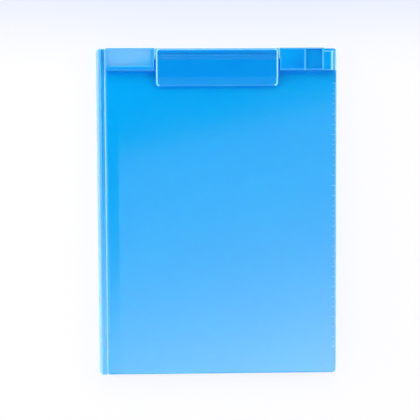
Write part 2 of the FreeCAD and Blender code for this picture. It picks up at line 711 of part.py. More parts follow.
def biarc(start, start_way, end, end_way):
    """Two arcs that join two points with a common direction where they meet."""
    chord = end - start
    ways = start_way + end_way
    a = 2 * (1 - start_way.dot(end_way))
    b = 2 * chord.dot(ways)
    reach = (-b + math.sqrt(b * b + 4 * a * chord.dot(chord))) / (2 * a)
    middle = (start + start_way * reach + end - end_way * reach) * 0.5
    first = Part.Arc(start, arc_middle(start, start_way, middle), middle)
    second = Part.Arc(middle, arc_middle(end, end_way * -1, middle), end)
    return [first.toShape(), second.toShape()]


def arc_middle(start, way, end):
    """The middle point of the arc that leaves start along way and ends at end."""
    chord = end - start
    half = chord.Length / 2
    along = chord.normalize()
    turn = math.acos(max(-1, min(1, way.dot(along))))
    side = way - along * way.dot(along)
    rise = half * math.tan(turn / 2)
    return start + along * half + side.normalize() * rise


def wire_ring(centre, way):
    """The wire's section, faceted, square to the way it runs."""
    across = way.cross(point(1, 0, 0)).normalize()
    up = way.cross(across)
    corners = []
    for n in range(SPRING_WIRE_SIDES):
        angle = 2 * math.pi * n / SPRING_WIRE_SIDES
        corners.append(centre + (across * math.cos(angle) + up * math.sin(angle)) * SPRING_WIRE_R)
    return Part.makePolygon(corners + corners[:1])


def make_spring(side):
    """Torsion spring round the pin: its upper leg lifts the clip's back edge off the lower leg's seat."""
    coil_x = CLIP_MIDDLE + side * SPRING_OFFSET - coil_length() / 2
    steps = math.ceil(coil_sweep() / (math.pi / 2))
    first, first_way = coil_point(coil_x, 0)
    last, last_way = coil_point(coil_x, coil_sweep())
    leg_start = first - first_way * SPRING_LEG
    edges = [Part.makeLine(leg_start, first)]
    for n in range(steps):
        start, start_way = coil_point(coil_x, coil_sweep() * n / steps)
        end, end_way = coil_point(coil_x, coil_sweep() * (n + 1) / steps)
        edges += biarc(start, start_way, end, end_way)
    edges.append(Part.makeLine(last, last + last_way * SPRING_LEG))
    path = Part.Wire(edges)
    return path.makePipeShell([wire_ring(leg_start, first_way)], True, False)


def print_spring_gap():
    """Least gap between turns, from points along the coil."""
    per_turn = 24
    count = round(per_turn * coil_sweep() / (2 * math.pi))
    points = [coil_point(0, coil_sweep() * n / count)[0] for n in range(count + 1)]
    least = min(
        (points[j] - points[i]).Length for i in range(count) for j in range(i + per_turn // 2, count + 1)
    )
    print("least gap between spring turns", round(least - 2 * SPRING_WIRE_R, 3), "mm")


def main():
    nodes = {
        "tray": make_tray(),
        "spine": make_spine(),
        "spine_end_caps": make_spine_end_caps(),
        "rear_hinge_web": make_rear_hinge_web(),
        "board": make_board(),
        "front_hinge_web": make_front_hinge_web(),
        "top_rail": make_top_rail(),
        "rail_rivets": make_rail_rivets(),
        "clip_pin": make_clip_pin(),
        "clip_spring_left": make_spring(-1),
        "clip_spring_right": make_spring(1),
        "clip_plate": make_clip_plate(),
        "jaw_strip": make_jaw_strip(),
    }
    os.makedirs("parts", exist_ok=True)
    for name, shape in nodes.items():
        shape.exportStep(f"parts/{name}.step")
        print(name, "solids", len(shape.Solids), "valid", shape.isValid(), "volume", round(shape.Volume, 1))
    print_spring_gap()


main()
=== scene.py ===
# The looks of a storage clipboard box that lies on its back: azure moulded shells, a steel-sprung clip
# between two rails, and a ruler along the writing board's edge. Lengths are in metres, with X across the
# page and Y up it.
import math

import bmesh
import bpy
from mathutils import Euler, Matrix, Vector


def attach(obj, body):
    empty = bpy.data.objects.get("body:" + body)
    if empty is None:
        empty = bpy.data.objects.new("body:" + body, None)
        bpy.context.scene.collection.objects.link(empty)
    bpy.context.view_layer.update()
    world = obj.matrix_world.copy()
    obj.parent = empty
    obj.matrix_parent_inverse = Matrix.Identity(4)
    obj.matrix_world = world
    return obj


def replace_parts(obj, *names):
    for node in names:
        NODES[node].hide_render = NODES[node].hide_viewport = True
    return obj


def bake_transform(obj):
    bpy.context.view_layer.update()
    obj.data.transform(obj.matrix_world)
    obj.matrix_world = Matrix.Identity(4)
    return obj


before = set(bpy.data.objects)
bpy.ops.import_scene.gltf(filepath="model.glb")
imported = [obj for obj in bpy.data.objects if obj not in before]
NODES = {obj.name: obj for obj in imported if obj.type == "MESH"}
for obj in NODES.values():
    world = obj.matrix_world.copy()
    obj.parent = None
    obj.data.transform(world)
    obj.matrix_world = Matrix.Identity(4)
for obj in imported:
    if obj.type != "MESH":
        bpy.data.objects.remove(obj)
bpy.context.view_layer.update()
MM = 0.001

# Camera
# The photograph was taken from almost straight above, with a long lens whose middle is near the clip's
# side of the board. Places and angles come from the box's corners in the picture.
FOCAL_PIXELS = 1100
FRAME_PIXELS = 420
SENSOR_WIDTH_MM = 36
CAMERA_PLACE = Vector((-37.3, 78.7, 1096.3)) * MM
CAMERA_TURN_DEG = (4.04, 1.61, 0.40)

camera_data = bpy.data.cameras.new("camera")
camera_data.sensor_width = SENSOR_WIDTH_MM
camera_data.lens = FOCAL_PIXELS / FRAME_PIXELS * SENSOR_WIDTH_MM
camera_data.dof.use_dof = False
camera = bpy.data.objects.new("camera", camera_data)
bpy.context.collection.objects.link(camera)
world_to_camera = Euler([math.radians(turn) for turn in CAMERA_TURN_DEG]).to_matrix()
camera.matrix_world = Matrix.Translation(CAMERA_PLACE) @ world_to_camera.transposed().to_4x4()
bpy.context.scene.camera = camera
bpy.context.scene.view_settings.view_transform = "Standard"

# Studio
# A softbox over the page, dim at its near edge and bright at its far one, pales the glossy board towards
# its foot. Three high panels light the head and the sides, and two low lamps fill the box's sides without
# showing in its gloss. The room is white at the horizon and dim overhead. The floor keeps its shadows.
PAGE_LAMP_HEIGHT = 1.6
PAGE_LAMP_WAY_DEG = -76.4
PAGE_LAMP_NEAR = -0.068
PAGE_LAMP_DEPTH = 0.75
PAGE_LAMP_ACROSS = (-0.55, 1.40)
PAGE_LAMP_RADIANCE = 8.3
PAGE_LAMP_NEAR_SHARE = 0.132
PAGE_LAMP_RISE = 2.27
PAGE_LAMP_VEIL_X = (-0.27, -0.24)
PAGE_LAMP_VEIL_WIDENS = (0.20, 0.60)
LAMPS = {
    # name: (place in metres, width, height, radiance)
    "left_lamp": ((-1.05, 0.0, 0.24), 2.4, 0.44, 2.1),
    "foot_lamp": ((0.1, -1.10, 0.32), 2.8, 0.44, 2.2),
    "head_panel": ((0.0, 1.45, 1.60), 1.6, 1.2, 3.4),
    "left_panel": ((-1.45, 0.45, 1.50), 1.2, 0.8, 4.1),
    "right_panel": ((1.45, 0.45, 1.50), 1.2, 0.8, 5.0),
}
LOW_LAMPS = ("left_lamp", "foot_lamp")
WALL_WHITE = (0.98, 0.99, 1.0, 1)
CEILING_GREY = (0.02, 0.022, 0.028, 1)
CEILING_STARTS = 0.42
CEILING_DONE = 0.70
FLOOR_SIDE = 9.0
FLOOR_WHITE = (0.972, 0.970, 1.0, 1)
FLOOR_COOL = (0.74, 0.80, 0.97, 1)
FLOOR_COOL_STARTS = 0.13
FLOOR_COOL_DONE = 0.26
FLOOR_LIT_SHARE = 0.86


def add(tree, kind, values=(), **options):
    """Adds a node to a tree, sets its options, and sets or links its inputs."""
    node = tree.nodes.new(kind)
    for option, choice in options.items():
        setattr(node, option, choice)
    for name, value in dict(values).items():
        if isinstance(value, bpy.types.NodeSocket):
            tree.links.new(value, node.inputs[name])
        else:
            node.inputs[name].default_value = value
    return node


def mixed(tree, share, first, second):
    """A colour between two others."""
    return add(tree, "ShaderNodeMix", {0: share, 6: first, 7: second}, data_type="RGBA").outputs[2]


def reckoned(tree, operation, first, second=0.0):
    """What comes of two values by ADD, MULTIPLY, MAXIMUM or the like."""
    return add(tree, "ShaderNodeMath", {0: first, 1: second}, operation=operation).outputs[0]


def times(tree, first, second):
    return reckoned(tree, "MULTIPLY", first, second)


def ranged(tree, value, low, high, to_low=0.0, to_high=1.0, curve="SMOOTHSTEP"):
    """A value between two others, as a share from to_low to to_high."""
    values = {"Value": value, "From Min": low, "From Max": high, "To Min": to_low, "To Max": to_high}
    return add(tree, "ShaderNodeMapRange", values, interpolation_type=curve).outputs[0]


def seen_share(tree):
    """1 for rays that show a surface to the camera, straight or in a gloss, and 0 for those that light."""
    path = add(tree, "ShaderNodeLightPath")
    seen = path.outputs["Is Camera Ray"]
    for ray in ("Is Glossy Ray", "Is Transmission Ray"):
        seen = reckoned(tree, "MAXIMUM", seen, path.outputs[ray])
    return seen


def hang_lamp(name, turn_and_place, width, depth, radiance):
    """A rectangular lamp that the camera doesn't see."""
    data = bpy.data.lights.new(name, "AREA")
    data.shape = "RECTANGLE"
    data.size = width
    data.size_y = depth
    data.energy = math.pi * width * depth * radiance
    lamp = bpy.data.objects.new(name, data)
    bpy.context.collection.objects.link(lamp)
    lamp.matrix_world = turn_and_place
    lamp.visible_camera = False
    return lamp


for lamp_name, (place, width, depth, radiance) in LAMPS.items():
    aim = (-Vector(place)).to_track_quat("-Z", "Y").to_matrix().to_4x4()
    lamp = hang_lamp(lamp_name, Matrix.Translation(place) @ aim, width, depth, radiance)
    lamp.visible_glossy = lamp_name not in LOW_LAMPS

page_turn = Euler((0, 0, math.radians(PAGE_LAMP_WAY_DEG + 90))).to_matrix()
page_middle = page_turn @ Vector((sum(PAGE_LAMP_ACROSS) / 2, -PAGE_LAMP_NEAR - PAGE_LAMP_DEPTH / 2, 0))
page_place = Matrix.Translation(page_middle + Vector((0, 0, PAGE_LAMP_HEIGHT)))
page_lamp = hang_lamp(
    "page_softbox",
    page_place @ page_turn.to_4x4(),
    PAGE_LAMP_ACROSS[1] - PAGE_LAMP_ACROSS[0],
    PAGE_LAMP_DEPTH,
    PAGE_LAMP_RADIANCE,
)
page_lamp.visible_diffuse = False
page_lamp.data.use_nodes = True
cloth = page_lamp.data.node_tree
cloth.nodes.clear()
cloth_geometry = add(cloth, "ShaderNodeNewGeometry").outputs
along_cloth = add(cloth, "ShaderNodeSeparateXYZ", {0: cloth_geometry["Parametric"]}).outputs["Y"]
from_near = reckoned(cloth, "SUBTRACT", 1.0, along_cloth)
risen = reckoned(cloth, "POWER", from_near, PAGE_LAMP_RISE)
# The veil is the lamp's dim near part. It stops short of the left side, so that the sunk strip beside the
# groove stays deep blue, and widens towards the far edge.
across_page = add(cloth, "ShaderNodeSeparateXYZ", {0: cloth_geometry["Position"]}).outputs["X"]
side_veil = ranged(cloth, across_page, *PAGE_LAMP_VEIL_X, curve="LINEAR")
foot_veil = ranged(cloth, from_near, *PAGE_LAMP_VEIL_WIDENS, curve="LINEAR")
veil_light = times(cloth, reckoned(cloth, "MAXIMUM", side_veil, foot_veil), PAGE_LAMP_NEAR_SHARE)
light_parts = {0: risen, 1: 1.0 - PAGE_LAMP_NEAR_SHARE, 2: veil_light}
towards_far = add(cloth, "ShaderNodeMath", light_parts, operation="MULTIPLY_ADD").outputs[0]
glow = add(cloth, "ShaderNodeEmission", {"Strength": towards_far})
add(cloth, "ShaderNodeOutputLight", {"Surface": glow.outputs[0]})

world = bpy.data.worlds.new("studio")
bpy.context.scene.world = world
world.use_nodes = True
room = world.node_tree
room.nodes.clear()
way = add(room, "ShaderNodeTexCoord").outputs["Generated"]
height = add(room, "ShaderNodeSeparateXYZ", {0: way}).outputs["Z"]
overhead = ranged(room, height, CEILING_STARTS, CEILING_DONE)
room_colour = mixed(room, overhead, WALL_WHITE, CEILING_GREY)
walls = add(room, "ShaderNodeBackground", {"Color": room_colour, "Strength": 1.0})
add(room, "ShaderNodeOutputWorld", {"Surface": walls.outputs[0]})

floor_mesh = bpy.data.meshes.new("floor")
corner = FLOOR_SIDE / 2
corners = [(-corner, -corner, 0), (corner, -corner, 0), (corner, corner, 0), (-corner, corner, 0)]
floor_mesh.from_pydata(corners, [], [(0, 1, 2, 3)])
floor = bpy.data.objects.new("floor", floor_mesh)
bpy.context.collection.objects.link(floor)
floor_paint = bpy.data.materials.new("floor_white")
floor_paint.use_nodes = True
paint = floor_paint.node_tree
paint.nodes.clear()
spot = add(paint, "ShaderNodeTexCoord").outputs["Object"]
up_the_page = add(paint, "ShaderNodeSeparateXYZ", {0: spot}).outputs["Y"]
coolness = ranged(paint, up_the_page, FLOOR_COOL_STARTS, FLOOR_COOL_DONE)
floor_colour = mixed(paint, coolness, FLOOR_WHITE, FLOOR_COOL)
matt = add(paint, "ShaderNodeBsdfDiffuse", {"Color": floor_colour})
lit = add(paint, "ShaderNodeEmission", {"Color": floor_colour, "Strength": 1.0})
lit_share = times(paint, seen_share(paint), FLOOR_LIT_SHARE)
top = add(paint, "ShaderNodeMixShader", {0: lit_share, 1: matt.outputs[0], 2: lit.outputs[0]})
add(paint, "ShaderNodeOutputMaterial", {"Surface": top.outputs[0]})
floor_mesh.materials.append(floor_paint)

# Tray
# The box's lower half, one injection-moulded shell in satin azure plastic. Its thin edges are painted
# paler, a painted highlight for the light that catches and passes through them, and its faces carry a fine
# spark grain and a few faint marks of handling.
SHELL_AZURE = (0.0, 0.350, 0.820, 1)
SHELL_DEEP = (0.0, 0.330, 0.800, 1)
# The pale of the painted highlight on thin edges, and of rubbed wear.
EDGE_HIGHLIGHT_AND_WEAR = (0.30, 0.70, 1.0, 1)
SHELL_ROUGHNESS = 0.14
SHELL_IOR = 1.50
SHELL_SCATTER = 0.6
SCATTER_RATIOS = (0.05, 0.45, 1.0)
SCATTER_DEPTH = 4.0 * MM
NOISE_MIDDLE = 0.5
NOISE_SPAN = (0.3, 0.7)
PATCH_SIZE = 90 * MM
PATCH_SHARE = 0.75
MOTTLE_SIZE = 2.5 * MM
MOTTLE_SHARE = 0.25
EDGE_REACH = 1.0 * MM
EDGE_SAMPLES = 8
EDGE_THIN_SHARES = (0.05, 0.35)
EDGE_RAG_SIZE = 6 * MM
EDGE_RAG_SPAN = (0.25, 0.75)
EDGE_RAG_LEAST = 0.75
SHELL_EDGE_SHARE = 0.75
GRAIN_SIZE = 0.35 * MM
GRAIN_DEPTH = 0.002 * MM
GRAIN_SWING = 0.06
CLOUD_SCALE_SHARE = 0.01
STREAK_SIZE = 26 * MM
STREAK_STRETCH = (1, 14, 1)
STREAK_TURN_DEG = 34
STREAK_SPAN = (0.66, 0.76)
WORN_SHARE = 0.02
RUBBED_ROUGHER = 0.04
ZONE_FADE = 0.4 * MM
NO_LIGHT = (0.0, 0.0, 0.0, 1)


def new_group(name, inputs, outputs):
    """An empty shader group with named sockets, and the nodes that its inputs and outputs are on."""
    group = bpy.data.node_groups.new(name, "ShaderNodeTree")
    for label, value in inputs.items():
        kind = "NodeSocketColor" if isinstance(value, tuple) else "NodeSocketFloat"
        group.interface.new_socket(label, in_out="INPUT", socket_type=kind).default_value = value
    for label, kind in outputs.items():
        group.interface.new_socket(label, in_out="OUTPUT", socket_type="NodeSocket" + kind)
    return group, group.nodes.new("NodeGroupInput").outputs, group.nodes.new("NodeGroupOutput")


def one_over(tree, size):
    return reckoned(tree, "DIVIDE", 1.0, size)


def object_place(tree):
    return add(tree, "ShaderNodeTexCoord").outputs["Object"]


def along_axis(tree, axis):
    """How far a place lies along X, Y or Z."""
    return add(tree, "ShaderNodeSeparateXYZ", {0: object_place(tree)}).outputs[axis]


def noise(tree, place, scale, detail=2.0):
    """Smooth noise around NOISE_MIDDLE, whose lumps are about one over the scale wide."""
    return add(tree, "ShaderNodeTexNoise", {"Vector": place, "Scale": scale, "Detail": detail}).outputs[0]


def build_thin_edge():
    """Group: a mask that is high where the wall is thinner than Reach, as at edges, ribs and rims."""
    low, high = EDGE_THIN_SHARES
    inputs = {"Reach": EDGE_REACH, "Rag Size": EDGE_RAG_SIZE, "Low": low, "High": high}
    group, given, result = new_group("thin_edge", inputs, {"Mask": "Float"})
    inward = add(
        group,
        "ShaderNodeAmbientOcclusion",
        {"Distance": given["Reach"]},
        inside=True,
        only_local=True,
        samples=EDGE_SAMPLES,
    )
    thin = reckoned(group, "SUBTRACT", 1.0, inward.outputs["AO"])
    rag = noise(group, object_place(group), one_over(group, given["Rag Size"]))
    uneven = ranged(group, rag, *EDGE_RAG_SPAN, EDGE_RAG_LEAST, 1.0)
    sharp = ranged(group, thin, given["Low"], given["High"])
    group.links.new(times(group, sharp, uneven), result.inputs["Mask"])
    return group


def build_resin_flow():
    """Group: the resin's colour, drifting between two shades over patches and in a fine mottle."""
    inputs = {
        "Colour": SHELL_AZURE,
        "Deep Colour": SHELL_DEEP,
        "Patch Size": PATCH_SIZE,
        "Mottle Size": MOTTLE_SIZE,
    }
    group, given, result = new_group("resin_flow", inputs, {"Colour": "Color"})
    place = object_place(group)
    patches = noise(group, place, one_over(group, given["Patch Size"]))
    mottle = noise(group, place, one_over(group, given["Mottle Size"]))
    drift = ranged(group, patches, *NOISE_SPAN, 0.0, PATCH_SHARE)
    fine = ranged(group, mottle, *NOISE_SPAN, 0.0, MOTTLE_SHARE)
    share = reckoned(group, "ADD", drift, fine)
    colour = mixed(group, share, given["Colour"], given["Deep Colour"])
    group.links.new(colour, result.inputs["Colour"])
    return group


def build_moulded_grain():
    """Group: the mould's spark grain as a height, and a roughness that drifts slowly over the face."""
    inputs = {"Grain Size": GRAIN_SIZE, "Roughness": SHELL_ROUGHNESS, "Swing": GRAIN_SWING}
    group, given, result = new_group("moulded_grain", inputs, {"Height": "Float", "Roughness": "Float"})
    place = object_place(group)
    scale = one_over(group, given["Grain Size"])
    grain = noise(group, place, scale, detail=1.0)
    cloud = noise(group, place, times(group, scale, CLOUD_SCALE_SHARE))
    change = times(group, reckoned(group, "SUBTRACT", cloud, NOISE_MIDDLE), given["Swing"])
    rough = reckoned(group, "ADD", given["Roughness"], change)
    group.links.new(grain, result.inputs["Height"])
    group.links.new(rough, result.inputs["Roughness"])
    return group


def build_handling_marks():
    """Group: a mask of faint rubbed streaks, a few centimetres long, that run across the page.

    The noise is turned after it is stretched, so its own rows lie aslant of the streaks.
    """
    inputs = {"Streak Size": STREAK_SIZE, "Amount": 1.0}
    group, given, result = new_group("handling_marks", inputs, {"Mask": "Float"})
    turn = (0, 0, math.radians(STREAK_TURN_DEG))
    placed = {"Vector": object_place(group), "Rotation": turn, "Scale": STREAK_STRETCH}
    stretched = add(group, "ShaderNodeMapping", placed).outputs[0]
    streaks = noise(group, stretched, one_over(group, given["Streak Size"]), detail=3.0)
    lines = ranged(group, streaks, *STREAK_SPAN)
    group.links.new(times(group, lines, given["Amount"]), result.inputs["Mask"])
    return group


THIN_EDGE = build_thin_edge()
RESIN_FLOW = build_resin_flow()
MOULDED_GRAIN = build_moulded_grain()
HANDLING_MARKS = build_handling_marks()


def use_group(tree, group, values=()):
    node = add(tree, "ShaderNodeGroup", node_tree=group)
    for name, value in dict(values).items():
        node.inputs[name].default_value = value
    return node


def new_material(name):
    material = bpy.data.materials.new(name)
    material.use_nodes = True
    material.node_tree.nodes.clear()
    return material, material.node_tree


def inside(tree, value, low, high, fade):
    """1 where a value is between two others, and less over a fade on each side."""
    rise = ranged(tree, value, low - fade, low)
    fall = ranged(tree, value, high, high + fade, to_low=1.0, to_high=0.0)
    return times(tree, rise, fall)


def zone(tree, x_span, y_span, fade=ZONE_FADE):
    """A mask of the rectangle between two X and two Y values, seen from above."""
    place = add(tree, "ShaderNodeSeparateXYZ", {0: object_place(tree)}).outputs
    return times(tree, inside(tree, place["X"], *x_span, fade), inside(tree, place["Y"], *y_span, fade))


def moulded_normal(tree, grain_height, sag):
    """The way a face looks, with its grain and, where it has one, its sag."""
    bump = add(tree, "ShaderNodeBump", {"Height": grain_height, "Distance": GRAIN_DEPTH})
    if sag:
        height_of, depth = sag
        sunk = add(tree, "ShaderNodeBump", {"Height": height_of(tree), "Distance": depth})
        tree.links.new(sunk.outputs[0], bump.inputs["Normal"])
    return bump.outputs[0]


def let_light_seep(tree, surface, seep_zones):
    """Paints a glow into a surface's emission in some zones, as if light came through the moulding."""
    seeping = NO_LIGHT
    for mask, light in seep_zones:
        seeping = mixed(tree, mask(tree), seeping, light)
    tree.links.new(seeping, surface.inputs["Emission Color"])
    surface.inputs["Emission Strength"].default_value = 1.0


def azure_plastic(
    name,
    colour,
    deep,
    edge_share=SHELL_EDGE_SHARE,
    reach=EDGE_REACH,
    rubbed_share=1.0,
    roughness=SHELL_ROUGHNESS,
    scatter=SHELL_SCATTER,
    pale_zones=(),
    seep_zones=(),
    sag=None,
):
    """Satin moulded plastic: drifting resin colour, painted highlights on thin edges, spark grain and
    faint rubbed streaks.

    Each pale zone is a function that adds a mask to the tree, and the colour that the mask brings; most
    are painted highlights, reflections or shade. Each seep zone is one too, for a painted glow that
    lightens the shade in a narrow gap, as if light came through the moulding. A sag is a function that
    adds a height to the tree, and how deep it goes.
    """
    material, tree = new_material(name)
    resin = use_group(tree, RESIN_FLOW, {"Colour": colour, "Deep Colour": deep}).outputs["Colour"]
    thin = use_group(tree, THIN_EDGE, {"Reach": reach}).outputs["Mask"]
    rubbed = use_group(tree, HANDLING_MARKS, {"Amount": rubbed_share}).outputs["Mask"]
    grain = use_group(tree, MOULDED_GRAIN, {"Roughness": roughness}).outputs
    edged = mixed(tree, times(tree, thin, edge_share), resin, EDGE_HIGHLIGHT_AND_WEAR)
    for mask, pale in pale_zones:
        edged = mixed(tree, mask(tree), edged, pale)
    worn = mixed(tree, times(tree, rubbed, WORN_SHARE), edged, EDGE_HIGHLIGHT_AND_WEAR)
    rough = reckoned(tree, "ADD", grain["Roughness"], times(tree, rubbed, RUBBED_ROUGHER))
    surface = add(
        tree,
        "ShaderNodeBsdfPrincipled",
        {
            "Base Color": worn,
            "Roughness": rough,
            "IOR": SHELL_IOR,
            "Subsurface Weight": scatter,
            "Subsurface Radius": SCATTER_RATIOS,
            "Subsurface Scale": SCATTER_DEPTH,
            "Normal": moulded_normal(tree, grain["Height"], sag),
        },
    )
    if seep_zones:
        let_light_seep(tree, surface, seep_zones)
    add(tree, "ShaderNodeOutputMaterial", {"Surface": surface.outputs[0]})
    return material


def paint_node(node, material):
    for slot in NODES[node].material_slots:
        slot.material = material


shell = azure_plastic("azure_shell_satin", SHELL_AZURE, SHELL_DEEP)
paint_node("tray", shell)

# Spine
# The narrow side wall on the left, a rounded strip of the same shell that swings out on two moulded webs.
# Its end walls are thinner and sit just inside its section. Its outer edge has a painted highlight for
# light from the side, and a painted reflection pales the strip towards the foot of the page.
SPINE_GLOW = (0.42, 0.63, 0.84, 1)
SPINE_GLOW_STARTS = -113.0 * MM
SPINE_GLOW_FULL = -115.6 * MM
SPINE_GLOW_SHARE = 0.66
SPINE_FADED = (0.25, 0.60, 1.0, 1)
SPINE_FADE_STARTS = 80 * MM
SPINE_FADE_FULL = -150 * MM
SPINE_FADE_SHARE = 0.62


def spine_glow(tree):
    """The painted highlight along the strip's outer edge."""
    across = along_axis(tree, "X")
    return ranged(tree, across, SPINE_GLOW_FULL, SPINE_GLOW_STARTS, SPINE_GLOW_SHARE, 0.0)


def spine_fade(tree):
    """Painted reflection: the strip pales towards the foot of the page, as the board's gloss does."""
    along = along_axis(tree, "Y")
    return ranged(tree, along, SPINE_FADE_FULL, SPINE_FADE_STARTS, SPINE_FADE_SHARE, 0.0)


spine_zones = [(spine_fade, SPINE_FADED), (spine_glow, SPINE_GLOW)]
paint_node("spine", azure_plastic("azure_spine_satin", SHELL_AZURE, SHELL_DEEP, pale_zones=spine_zones))
paint_node("spine_end_caps", shell)

# Rear hinge web
# The tray and the spine are one moulding: this quarter-round web at the rear corner is thin enough to bend
# for years, and its plastic turns pale where it has been stretched.
WEB_PALE = (0.38, 0.78, 1.0, 1)
WEB_BLEACHED = (0.48, 0.85, 1.0, 1)
WEB_STEPS = 12
WEB_LENGTH_STEPS = 24
WEB_SHARP_DEG = 40
WEB_RUBBED_SHARE = 0.4
REAR_WEB_CENTRE = (-115.9 * MM, 1.6 * MM)
REAR_WEB_OUTER_R = 1.6 * MM
REAR_WEB_THICK = 0.5 * MM
REAR_WEB_NECK = 0.06 * MM
REAR_WEB_HALF_LENGTH = 156.0 * MM
QUARTER = math.pi / 2


def swept_web(name, section, half_length):
    """A closed strip: a closed outline of (x, z) points swept up the page, with rows across its length."""
    mesh = bmesh.new()
    rows = []
    for step in range(WEB_LENGTH_STEPS + 1):
        y = -half_length + 2 * half_length * step / WEB_LENGTH_STEPS
        rows.append([mesh.verts.new((x, y, z)) for x, z in section])
    for row, next_row in zip(rows, rows[1:]):
        for n in range(len(section)):
            after = (n + 1) % len(section)
            mesh.faces.new((row[n], row[after], next_row[after], next_row[n]))
    mesh.faces.new(rows[0])
    mesh.faces.new(rows[-1][::-1])
    bmesh.ops.recalc_face_normals(mesh, faces=mesh.faces)
    data = bpy.data.meshes.new(name)
    mesh.to_mesh(data)
    mesh.free()
    data.shade_smooth()
    data.set_sharp_from_angle(angle=math.radians(WEB_SHARP_DEG))
    piece = bpy.data.objects.new(name, data)
    bpy.context.collection.objects.link(piece)
    return piece


def neck(share, depth):
    """How far a web's face draws in at a share of its width."""
    return depth * math.sin(math.pi * share) ** 2


rear_outer = []
rear_inner = []
for step in range(WEB_STEPS + 1):
    share = step / WEB_STEPS
    angle = math.pi + QUARTER * share
    outer_r = REAR_WEB_OUTER_R - neck(share, REAR_WEB_NECK)
    inner_r = REAR_WEB_OUTER_R - REAR_WEB_THICK + neck(share, REAR_WEB_NECK)
    for radius, side in ((outer_r, rear_outer), (inner_r, rear_inner)):
        x = REAR_WEB_CENTRE[0] + radius * math.cos(angle)
        z = REAR_WEB_CENTRE[1] + radius * math.sin(angle)
        side.append((x, z))
web_plastic = azure_plastic(
    "azure_web_bleached", WEB_PALE, WEB_BLEACHED, rubbed_share=WEB_RUBBED_SHARE, scatter=0.0
)
rear_web = swept_web("rear_living_hinge", rear_outer + rear_inner[::-1], REAR_WEB_HALF_LENGTH)
rear_web.data.materials.append(web_plastic)
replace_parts(rear_web, "rear_hinge_web")
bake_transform(rear_web)

# Front hinge web
# The second web lies flat at the foot of the groove between the spine and the writing board. It shows from
# above as a pale line down the page's whole left side.
FRONT_WEB_X = (-109.3 * MM, -108.3 * MM)
FRONT_WEB_Z = (18.4 * MM, 18.9 * MM)
FRONT_WEB_NECK = 0.10 * MM
FRONT_WEB_HALF_LENGTH = 158.5 * MM

front_top = []
front_foot = []
for step in range(WEB_STEPS + 1):
    share = step / WEB_STEPS
    x = FRONT_WEB_X[0] + (FRONT_WEB_X[1] - FRONT_WEB_X[0]) * share
    front_top.append((x, FRONT_WEB_Z[1] - neck(share, FRONT_WEB_NECK)))
    front_foot.append((x, FRONT_WEB_Z[0] + neck(share, FRONT_WEB_NECK)))
front_web = swept_web("front_living_hinge", front_top + front_foot[::-1], FRONT_WEB_HALF_LENGTH)
front_web.data.materials.append(web_plastic)
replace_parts(front_web, "front_hinge_web")
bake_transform(front_web)

# Board
# The writing board is the lid of the box: a flat moulded sheet with a skirt and ribs below. Paper slides
# over it every day, so it is a little smoother than the tray.
BOARD_AZURE = (0.0, 0.380, 0.855, 1)
BOARD_DEEP = (0.0, 0.365, 0.840, 1)
BOARD_ROUGHNESS = 0.12
HINGE_EDGE_LIT = (0.30, 0.70, 1.0, 1)
HINGE_EDGE_X = (-109.0 * MM, -107.9 * MM)
HINGE_EDGE_FADE = 0.25 * MM
BOARD_SPAN_Y = (-160.0 * MM, 160.0 * MM)
RULER_EDGE_LIT = (0.22, 0.60, 1.0, 1)
RULER_EDGE_X = (117.0 * MM, 118.0 * MM)
RULER_EDGE_FADE = 0.7 * MM
LOOP_SIDE_LIT = (0.55, 0.88, 1.0, 1)
LOOP_SIDE_X = (116.4 * MM, 118.0 * MM)
LOOP_SIDE_Y = (139.0 * MM, 157.0 * MM)
LOOP_SIDE_Z = (18.4 * MM, 18.9 * MM)
LOOP_SIDE_FADE = 0.5 * MM
SAG_X = (-106.0 * MM, -95.9 * MM)
SAG_DEPTH = 0.36 * MM
LIP_FOOT_LIGHT = (0.0, 0.055, 0.230, 1)
LIP_FOOT_X = (-57.5 * MM, 58.5 * MM)
LIP_FOOT_Y = (122.6 * MM, 123.4 * MM)
LIP_FOOT_FADE = 2.5 * MM
RAIL_FOOT_LIGHT = (0.0, 0.020, 0.150, 1)
RAIL_FOOT_X = (-108.0 * MM, 116.5 * MM)
RAIL_FOOT_Y = (137.0 * MM, 140.0 * MM)
RAIL_FOOT_FADE = 4.5 * MM
RULER_STRIP = (0.0, 0.340, 0.770, 1)
RULER_STRIP_X = (115.0 * MM, 117.0 * MM)
RULER_STRIP_Y = (-135.0 * MM, 129.0 * MM)
RULER_STRIP_FADE = 0.6 * MM


def hinge_edge(tree):
    """The board's thin edge at the groove, with a painted highlight."""
    return zone(tree, HINGE_EDGE_X, BOARD_SPAN_Y, HINGE_EDGE_FADE)


def ruler_edge(tree):
    """The board's rounded edge that the ruler rolls over, with a painted highlight."""
    return zone(tree, RULER_EDGE_X, BOARD_SPAN_Y, RULER_EDGE_FADE)


def loop_side(tree):
    """The board's top edge beside the pen loop, with a painted highlight."""
    side = zone(tree, LOOP_SIDE_X, LOOP_SIDE_Y, LOOP_SIDE_FADE)
    return times(tree, side, ranged(tree, along_axis(tree, "Z"), *LOOP_SIDE_Z))


def lip_foot(tree):
    """The board just in front of the clip's lip, where a painted glow lightens the shade."""
    return zone(tree, LIP_FOOT_X, LIP_FOOT_Y, LIP_FOOT_FADE)


def rail_foot(tree):
    """The board just in front of the rail, where a painted glow lightens the shade."""
    return zone(tree, RAIL_FOOT_X, RAIL_FOOT_Y, RAIL_FOOT_FADE)


def ruler_strip(tree):
    """The strip that the ruler's marks stand on, painted a darker blue."""
    return zone(tree, RULER_STRIP_X, RULER_STRIP_Y, RULER_STRIP_FADE)


def hinge_sag(tree):
    """The board falls a little towards the groove, where the moulding has drawn in as it cooled."""
    return ranged(tree, along_axis(tree, "X"), *SAG_X, curve="LINEAR")


